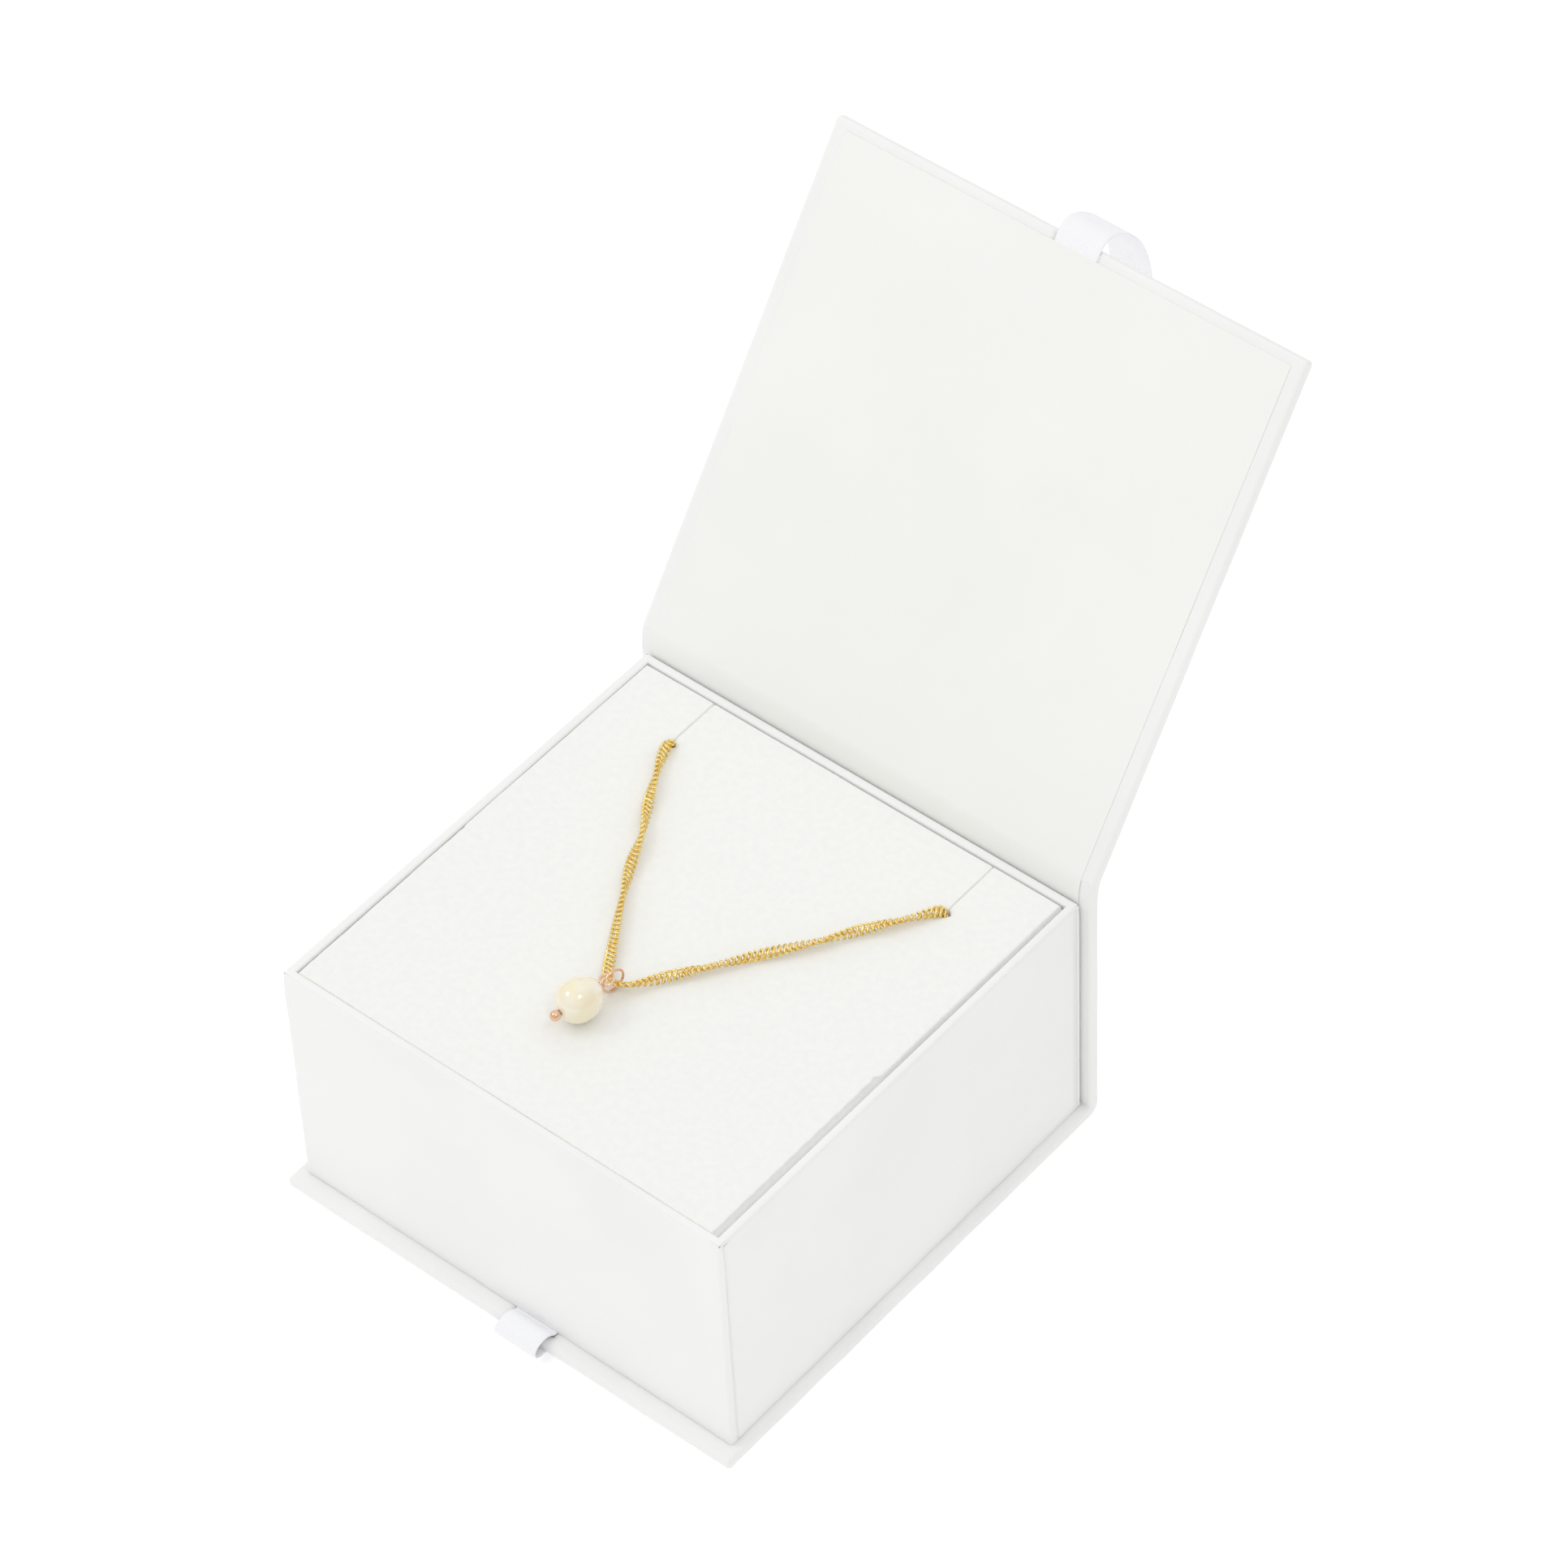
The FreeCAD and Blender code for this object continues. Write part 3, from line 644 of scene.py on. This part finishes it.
def makePad():
    # Top as heights over a grid that is close at the slits and edges; the rim runs down to the underside,
    # and heights fall away at the edges by a quarter circle
    lo = np.array([trayLo[0] + tray["wall"] + pad["gap"][0], padLo[1], padLo[2]])
    hi = np.array([trayHi[0] - tray["wall"] - pad["gap"][1], padHi[1], padHi[2]])
    e = pad["edge"]
    near = np.array([0, 0.03, 0.1, 0.2, 0.32, 0.45])
    fine = np.array([-1.6, -1.2, -0.9, -0.6, -0.4, -0.26, -0.12, -0.06, 0, 0.06, 0.12, 0.26, 0.4, 0.6, 0.9,
                     1.2, 1.6])
    xs = np.unique(np.round(np.concatenate([lo[0] + near, hi[0] - near,
                                            np.linspace(lo[0] + e, hi[0] - e, 110),
                                            pad["slitLeft"][0] + fine, pad["slitRight"][0] + fine]), 4))
    ys = np.unique(np.round(np.concatenate([lo[1] + near, hi[1] - near,
                                            np.linspace(lo[1] + e, hi[1] - e, 110),
                                            pad["slitLeft"][1] + fine, pad["slitRight"][1] + fine,
                                            pad["nickY"] + fine * 0.5]), 4))
    gx, gy = np.meshgrid(xs, ys, indexing="ij")
    flat = np.stack([gx, gy, np.zeros_like(gx)], -1).reshape(-1, 3)
    gz = hi[2] + (0.05 * waves(flat, 16, 21) + 0.02 * waves(flat, 4, 22)).reshape(gx.shape) - 0.04
    toEdge = np.minimum(np.minimum(gx - lo[0], hi[0] - gx), np.minimum(gy - lo[1], hi[1] - gy))
    drop = np.clip(e - toEdge, 0, e)
    gz -= e - np.sqrt(np.maximum(e ** 2 - drop ** 2, 0))
    for sx, sy in (pad["slitLeft"], pad["slitRight"]):
        away = np.abs(gx - sx)
        inSlit = (gy > sy) * (away < pad["slit"] + 0.02)
        lips = (gy > sy - 0.3) * 0.06 * np.exp(-(away / 0.3) ** 2)
        hole = np.hypot(gx - sx, gy - sy)
        dimple = 0.55 * np.exp(-(hole / 0.85) ** 2)
        inHole = hole < pad["hole"]
        gz -= lips + dimple
        gz = np.where(inSlit | inHole, hi[2] - pad["depth"], gz)
    ragged = 1 + 0.12 * np.sin(gy * 2.1) + 0.08 * np.sin(gy * 5.3)
    inset = np.where(gx < 0, sideAt(gy, 0), sideAt(gy, 1)) * ragged
    share = 2 * (gx - lo[0]) / (hi[0] - lo[0]) - 1
    squeeze = np.clip((np.abs(share) - 0.9) / 0.1, 0, 1) ** 2
    x = gx - np.sign(share) * inset * squeeze
    nx, ny = gx.shape
    top = np.stack([x, gy, gz], -1).reshape(-1, 3)
    faces = gridFaces(nx, ny).tolist()
    ring = [i * ny for i in range(nx)] + [(nx - 1) * ny + j for j in range(1, ny)]
    ring += [i * ny + ny - 1 for i in range(nx - 2, -1, -1)] + [j for j in range(ny - 2, 0, -1)]
    n = len(top)
    count = len(ring)
    rims = []
    # below the top it swells out to the walls
    for down, out in ((0.7, 0.25), (1.5, 0.8), (3.0, 1.0), (hi[2] - lo[2], 1.0)):
        rim = top[ring].copy()
        for k, wall in ((0, trayHi[0] - tray["wall"]), (1, trayHi[1] - tray["wall"])):
            middleK = (trayHi[k] + trayLo[k]) / 2
            atSide = np.abs(flat[ring][:, k] - (lo[k] + hi[k]) / 2) > (hi[k] - lo[k]) / 2 - 0.02
            target = middleK + np.sign(rim[:, k] - middleK) * (wall - middleK - 0.03)
            rim[:, k] = np.where(atSide, rim[:, k] * (1 - out) + target * out, rim[:, k])
        rim[:, 2] = hi[2] - down
        rims.append(rim)
    ringFaces = [[ring[k], ring[(k + 1) % count], n + (k + 1) % count, n + k] for k in range(count)]
    faces += ringFaces + (gridFaces(len(rims), count, wrapV=True) + n).tolist()
    faces.append([n + (len(rims) - 1) * count + k for k in range(count)])
    obj = addMesh("foamPad", np.concatenate([top] + rims), faces, foam)
    return outward(obj, 1e-7)


foamPad = makePad()
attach(foamPad, "base")
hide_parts("foam_pad")
print("foam done")

# ribbons
ribbon = {"width": 7.2, "thick": 0.34, "rib": 0.42, "ribHeight": 0.05, "clear": 0.03, "glued": 8.0}
lidRibbonHang = [(0.75, 0.62), (1.95, 0.97), (3.45, 0.62), (5.45, -0.63), (7.35, -2.43), (9.05, -4.93),
                 (10.35, -8.13), (11.25, -12.33), (11.75, -18.33), (12.05, -29.33), (12.1, -44.33),
                 (11.9, -62.33), (11.45, -82.33)]
baseRibbonLine = [(-2.45 - 8.0, caseT - 0.2), (0.3 - 2.45, caseT - 0.2), (-1.3, 2.5), (-0.35, 2.95),
                  (0.9, 2.9), (1.85, 2.35), (2.2, 1.5), (1.9, 0.7), (1.1, 0.27), (0.1, 0.22),
                  (-1.2, 0.2), (-73.0, 0.22)]


def ribbonStrip(name, line, middleX):
    # Ribbed band carried along a line in the YZ plane: cosine ribs across the width stand out on both
    # faces, and the selvedges bead in step with them
    line, s = evenly(line, ribbon["rib"] / 6)
    along = np.gradient(line, axis=0)
    along /= np.linalg.norm(along, axis=1)[:, None]
    out = np.stack([np.zeros(len(line)), -along[:, 2], along[:, 1]], 1)
    wave = np.cos(2 * math.pi * s / ribbon["rib"])
    half = ribbon["width"] / 2
    across = half * np.sin(np.linspace(-math.pi / 2, math.pi / 2, 15))
    across = np.sign(across) * half * (np.abs(across) / half) ** 0.9
    thin = ribbon["thick"] / 2 - ribbon["ribHeight"]
    rows = []
    for face in (1, -1):
        x = across[::face]
        body = np.sqrt(np.maximum(1 - (np.abs(x) / half) ** 24, 0.0))
        t = (thin + ribbon["ribHeight"] * (0.5 + 0.5 * face * wave[:, None])) * body[None]
        bead = 1 + 0.006 * wave[:, None] * (np.abs(x) > half * 0.98)
        p = line[:, None] + face * t[..., None] * out[:, None]
        p[..., 0] = middleX + x[None] * bead
        rows.append(p)
    ring = np.concatenate(rows, 1)
    n, k = ring.shape[:2]
    faces = gridFaces(n, k, wrapV=True).tolist()
    faces += [list(range(k)), list(range((n - 1) * k, n * k))]
    obj = outward(addMesh(name, ring.reshape(-1, 3), faces, grosgrain), 1e-7)
    return obj, line, s[-1]


edge = opened([0, frontY, lidInZ])
mid = ribbon["thick"] / 2 + ribbon["clear"]
route = [opened([ribbonX["lid"], frontY + lid["linerFront"] + ribbon["glued"], lidInZ + mid]),
         opened([ribbonX["lid"], frontY + lid["linerFront"] + 0.6, lidInZ + mid]),
         opened([ribbonX["lid"], frontY + 0.9, lidInZ + 0.04])]
route += [np.array([ribbonX["lid"], edge[1] + back, edge[2] + up]) for back, up in lidRibbonHang]
lidRibbon, line, length = ribbonStrip("lidTieRibbon", splinePoints("lidRibbonLine", route), ribbonX["lid"])
print("lid ribbon", round(length, 1))
line[:, 0] = ribbonX["lid"]
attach(lidRibbon, "lid")
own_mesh(lidRibbon)
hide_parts("lid_ribbon")

route = [np.array([ribbonX["base"], frontY - past, z]) for past, z in baseRibbonLine]
baseRibbon, line, length = ribbonStrip("baseTieRibbon", splinePoints("baseRibbonLine", route),
                                       ribbonX["base"])
print("base ribbon", round(length, 1))
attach(baseRibbon, "base")
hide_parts("base_ribbon")
print("ribbons done")

# the chain
chain = {"pitch": 0.8, "wide": 0.67, "thick": 0.25, "wire": 0.185, "sweep": 0.5, "open": 0.12,
         "halfTurn": 11.0, "onFoam": 0.1, "d": 1.9}
chainZ = padHi[2] + chain["onFoam"] + chain["d"] / 2
tailZ = coilLo[2] + chain["d"] / 2
frontRoute = [
    (-24.1, 26.3, -2.4), (-24.1, 26.3, -0.8), (-23.5, 24.9, 0), (-22.6, 22.6, 0), (-21.1, 19.6, 0),
    (-18.7, 15.4, 0), (-15.6, 10.5, 0), (-13.7, 6.2, 0), (-10.2, -0.1, 0), (-6.6, -5.7, 0),
    (-4.0, -9.7, 0.05), (-2.8, -11.6, 0.3), (-1.6, -12.4, 0.45), (-0.3, -12.0, 0.45), (0.8, -10.9, 0.25),
    (2.4, -8.5, 0), (3.9, -6.2, 0), (6.9, -1.7, 0), (11.2, 4.4, 0), (15.2, 10.3, 0), (19.1, 16.3, 0),
    (21.8, 20.4, 0), (23.7, 23.3, 0), (24.5, 25.3, -0.8), (24.5, 25.3, -2.4)]
# places where it looks narrow, and how the flat side stands there
pinches = [(-21.1, 19.6, 103), (-15.7, 10.5, 103), (-10.1, -0.2, 103), (0.2, -11.2, 48), (6.9, -1.8, 48),
           (15.4, 10.1, 48), (21.7, 20.1, 48)]


def chainRoute():
    # ring, coil turns, up the left slit, over the foam, down the right slit, to the clasp
    middle = (coilLo[:2] + coilHi[:2]) / 2
    left, right = np.array(pad["slitLeft"]), np.array(pad["slitRight"])
    points = [(14.6, 10.9, tailZ - 0.5), (14.2, 12.0, tailZ)]
    layers = [(11.5, tailZ), (9.45, tailZ), (9.45, tailZ + 1.98), (11.5, tailZ + 1.98)]
    turns = 52
    for i in range(turns):
        a = -0.25 + 2 * math.pi * i / 13
        k = min(i / 13, 3.0)
        low = layers[int(k)]
        high = layers[min(int(k) + 1, 3)]
        t = np.clip((k - int(k) - 0.75) / 0.25, 0, 1)
        r, z = low[0] * (1 - t) + high[0] * t, low[1] * (1 - t) + high[1] * t
        points.append((middle[0] + r * math.cos(a), middle[1] + r * math.sin(a), z))
    points = points[:-6]
    points += [(-12.6, left[1] - 4.2, tailZ + 1.4), (left[0] + 7.5, left[1] - 4.0, tailZ + 0.6),
               (left[0] + 3.2, left[1] - 2.2, tailZ + 2.6), (left[0] + 0.6, left[1] - 0.5, padLo[2] - 7.0),
               (left[0], left[1], padLo[2] - 0.5)]
    points += [(x, y, chainZ + h) for x, y, h in frontRoute]
    points += [(right[0], right[1], padLo[2] - 0.5), (right[0] + 0.5, right[1] - 0.9, padLo[2] - 7.0),
               (right[0] + 0.4, right[1] - 3.6, tailZ + 2.6), (right[0] - 0.6, right[1] - 8.0, tailZ + 0.4),
               (right[0] - 2.8, right[1] - 12.0, tailZ), (right[0] - 4.2, right[1] - 13.1, tailZ - 0.1)]
    return points


def twistAt(line, s):
    # the chain's flat side turns over between one narrow place and the next
    marks = [s[np.argmin(np.hypot(line[:, 0] - x, line[:, 1] - y) + 9 * (line[:, 2] < padHi[2]))]
             for x, y, stand in pinches]
    turns = [math.radians(stand + 180 * k) for k, (x, y, stand) in enumerate(pinches)]
    before, after = np.arange(40, 0, -1), np.arange(1, 12)
    at = np.concatenate([marks[0] - chain["halfTurn"] * before, marks, marks[-1] + chain["halfTurn"] * after])
    turns = np.concatenate([turns[0] - math.pi * before, turns, turns[-1] + math.pi * after])
    return np.interp(s, at, turns)


def makeChain():
    # Curb links: each is a flattened loop round the chain's line whose near and far sides sweep opposite
    # ways along it, so that both faces look like rope; the flat side turns as it goes
    fineLine = splinePoints("chainLine", chainRoute())
    line, s = evenly(fineLine, chain["pitch"])
    side, up, along = frames(line)
    turn = twistAt(line, s)[:, None]
    w = side * np.cos(turn) + up * np.sin(turn)      # across the flat side
    n = -side * np.sin(turn) + up * np.cos(turn)     # out of the flat side
    a = np.linspace(0, 2 * math.pi, 14, endpoint=False)
    b = np.linspace(0, 2 * math.pi, 5, endpoint=False)
    ca, sa = np.cos(a)[None, :, None], np.sin(a)[None, :, None]
    loop = chain["wide"] * ca * w[:, None] + chain["thick"] * sa * n[:, None]
    loop = loop + (chain["open"] * sa - chain["sweep"] * sa * ca) * along[:, None]
    way = np.roll(loop, -1, 1) - np.roll(loop, 1, 1)
    way /= np.linalg.norm(way, axis=2)[..., None]
    out = loop - (loop * way).sum(2)[..., None] * way
    out /= np.linalg.norm(out, axis=2)[..., None]
    other = np.cross(way, out)
    cb, sb = np.cos(b)[None, None, :, None], np.sin(b)[None, None, :, None]
    centre = (line[:, None] + loop)[:, :, None]
    p = centre + chain["wire"] * (cb * out[:, :, None] + sb * other[:, :, None])
    count = len(line)
    one = gridFaces(14, 5, True, True)
    faces = (one[None] + (np.arange(count) * 70)[:, None, None]).reshape(-1, 4)
    obj = addMesh("necklaceChain", p.reshape(-1, 3), faces, gold)
    return outward(obj, 1e-9), line, s


necklace, line, s = makeChain()
print("chain", round(s[-1], 1), "mm,", len(s), "links")
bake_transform(necklace)
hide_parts("chain_front", "chain_left_tail", "chain_right_tail", "chain_coil")

# the drop
drop = {"pearl": 6.2, "long": 6.9, "tilt": 8.0, "at": (-1.8, -18.2), "ball": 1.54, "pin": 0.4, "eye": 0.9,
        "bail": 1.75, "bailWire": 0.36}
pearlLo, pearlHi = boxOf("pearl")
axis = np.array([math.sin(math.radians(drop["tilt"])), math.cos(math.radians(drop["tilt"])), 0])
heart = np.array([*drop["at"], (pearlLo[2] + pearlHi[2]) / 2])
sideways = np.cross(axis, [0, 0, 1])


def turned(name, profile, material, around=56):
    # Surface of turning: each (distance along the axis, radius) of the profile goes round it
    a = np.linspace(0, 2 * math.pi, around, endpoint=False)
    s, r = profile[:, 0][:, None, None], profile[:, 1][:, None, None]
    ring = np.cos(a)[None, :, None] * sideways + np.sin(a)[None, :, None] * np.array([0, 0, 1.0])
    p = heart + s * axis + r * ring
    faces = gridFaces(len(profile), around, wrapU=True, wrapV=True)
    return outward(addMesh(name, p.reshape(-1, 3), faces, material))


def pearlProfile():
    half, hole = drop["long"] / 2, 0.35
    t = np.linspace(math.asin(2 * hole / drop["pearl"]), math.pi - math.asin(2 * hole / drop["pearl"]), 44)
    s = -half * np.cos(t)
    r = drop["pearl"] / 2 * np.sin(t) * (1 - 0.07 * s / half)
    r *= 1 + 0.006 * np.sin(s * 2.3)
    bore = np.linspace(s[-1], s[0], 6)[1:-1]
    return np.concatenate([np.stack([s, r], 1), np.stack([bore, np.full(4, hole)], 1)])


pearl = turned("pearlDrop", pearlProfile(), nacre)
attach(pearl, "necklace")
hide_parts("pearl")


def makePin():
    # ball, straight wire through the pearl and an eye, as one turned and bent wire
    half = drop["long"] / 2
    r = drop["ball"] / 2
    ballAt = heart - axis * (half + r - 0.05)
    eyeAt = heart + axis * (half + 0.4 + drop["eye"])
    t = np.linspace(0.02, math.pi - 0.12, 24)
    ballLine = ballAt - axis[None] * (r * np.cos(t))[:, None]
    wireLine = np.linspace(ballLine[-1] + axis * 0.02, eyeAt - axis * drop["eye"], 12)
    a = np.linspace(math.pi, 3 * math.pi - 0.5, 34)
    eyeLine = eyeAt + drop["eye"] * (np.cos(a)[:, None] * axis + np.sin(a)[:, None] * sideways)
    linePts = np.concatenate([ballLine, wireLine, eyeLine[1:]])
    radius = np.concatenate([np.maximum(r * np.sin(t), 0.02), np.full(12 + 33, drop["pin"] / 2)])
    return tube("headPin", linePts, radius, roseGold, sides=20)


headPin = makePin()
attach(headPin, "necklace")
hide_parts("head_pin")

flat = np.array([-0.148, -0.989, 0])
a = np.linspace(0.3, 2 * math.pi + 0.18, 60)
upward = np.array([0, 0, 1.0])
ringLine = sum(boxOf("bail")) / 2 + drop["bail"] * (np.cos(a)[:, None] * flat + np.sin(a)[:, None] * upward)
bail = tube("bailRing", ringLine, drop["bailWire"] / 2, roseGold, sides=14)
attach(bail, "necklace")
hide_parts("bail")

# clasp, flat in the foam's pocket
claspLo, claspHi = boxOf("clasp")
ringLo, ringHi = boxOf("clasp_ring")


def makeClasp():
    # hollow spring ring with a mouth, its thumb stud and the small end ring
    r, tubeR = 2.3, 0.7
    at = np.array([claspHi[0] - r - tubeR, claspHi[1] - r - tubeR, (claspLo[2] + claspHi[2]) / 2])
    a = np.linspace(0, 2 * math.pi, 48, endpoint=False)
    ring = at + r * np.stack([np.cos(a), np.sin(a), 0 * a], 1)
    mouth = 1 - 0.1 * np.exp(-((a - 3.6) / 0.16) ** 2)   # the closed mouth is a little thinner
    body = tube("claspBody", ring, tubeR * mouth, gold, 16, closed=True)
    stud = at + np.array([[-r, -0.2, 0], [-r - 0.35, -0.9, 0], [-r - 0.55, -1.25, 0], [-r - 0.7, -1.5, 0]])
    knob = tube("claspStud", stud, np.array([0.3, 0.3, 0.42, 0.3]), gold, 12)
    knob.parent = body
    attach(body, "base")
    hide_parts("clasp")
    ringAt = (ringLo + ringHi) / 2
    ringR = (ringHi[0] - ringLo[0]) / 2 - 0.3
    endLine = ringAt + ringR * np.stack([np.cos(a), np.sin(a), 0 * a], 1)
    end = tube("claspRing", endLine, 0.3, gold, 12, closed=True)
    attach(end, "base")
    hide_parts("clasp_ring")
    return body, knob, end


claspBody, claspStud, claspRing = makeClasp()
print("necklace done")

# camera, floor and light
shot = {"aim": (-7.078, 29.904, 43.0), "away": 930.52, "azimuth": 41.715, "elevation": 47.218, "roll": -2.768,
        "lens": 158.385}


def addCamera():
    az, el, roll = (math.radians(shot[k]) for k in ("azimuth", "elevation", "roll"))
    back = np.array([math.sin(az) * math.cos(el), -math.cos(az) * math.cos(el), math.sin(el)])
    right0 = np.array([math.cos(az), math.sin(az), 0])
    up0 = np.cross(back, right0)
    right = right0 * math.cos(roll) + up0 * math.sin(roll)
    up = up0 * math.cos(roll) - right0 * math.sin(roll)
    data = bpy.data.cameras.new("camera")
    data.lens = shot["lens"]
    data.sensor_width = 36
    data.clip_start, data.clip_end = 0.05, 20
    camera = bpy.data.objects.new("camera", data)
    scene.collection.objects.link(camera)
    at = (np.array(shot["aim"]) + back * shot["away"]) * mm
    camera.matrix_world = Matrix(((right[0], up[0], back[0], at[0]), (right[1], up[1], back[1], at[1]),
                                  (right[2], up[2], back[2], at[2]), (0, 0, 0, 1)))
    scene.camera = camera


def addFloor():
    # a big pale sweep that shines a little by itself, so that only contact shadows show
    size = 6000
    corners = [(-size, -size, -0.02), (size, -size, -0.02), (size, size, -0.02), (-size, size, -0.02)]
    obj = addMesh("floor", corners, [(0, 1, 2, 3)], wrapPaper, False)
    mat, tree, shader, place = startMaterial("paleFloor", "#DADADA", 0.9, Specular_IOR_Level=0.0)
    shader.inputs["Emission Color"].default_value = (1, 1, 1, 1)
    shader.inputs["Emission Strength"].default_value = lights["floorGlow"]
    obj.data.materials.clear()
    obj.data.materials.append(mat)


lights = {"low": 0.61, "rise": 0.38, "side": -0.08, "floorGlow": 0.4, "key": 0.55, "keySize": 240,
          "fill": 0.3, "fillSize": 160}


def areaLight(name, at, target, size, watts):
    data = bpy.data.lights.new(name, "AREA")
    data.shape = "SQUARE"
    data.size = size * mm
    data.energy = watts
    obj = bpy.data.objects.new(name, data)
    scene.collection.objects.link(obj)
    obj.location = Vector(at) * mm
    obj.rotation_euler = (Vector(target) - Vector(at)).to_track_quat("-Z", "Y").to_euler()


world = bpy.data.worlds.new("soft")
scene.world = world
world.use_nodes = True
world.node_tree.nodes["Background"].inputs["Color"].default_value = (1, 1, 1, 1)
sky = world.node_tree   # a soft tent: brighter overhead, a little darker on the right
ray = addNode(sky, "ShaderNodeSeparateXYZ", {}, {0: addNode(sky, "ShaderNodeTexCoord").outputs["Generated"]})
rise = addNode(sky, "ShaderNodeMath", {"operation": "MULTIPLY_ADD", 1: lights["rise"], 2: lights["low"]},
               {0: ray.outputs["Z"]})
total = addNode(sky, "ShaderNodeMath", {"operation": "MULTIPLY_ADD", 1: lights["side"]},
                {0: ray.outputs["X"], 2: rise.outputs[0]})
sky.links.new(total.outputs[0], sky.nodes["Background"].inputs["Strength"])
addCamera()
addFloor()
areaLight("keyLeft", (-420, -330, 640), (0, 0, 30), lights["keySize"], lights["key"])
areaLight("fillRight", (330, -60, 700), (0, 0, 30), lights["fillSize"], lights["fill"])
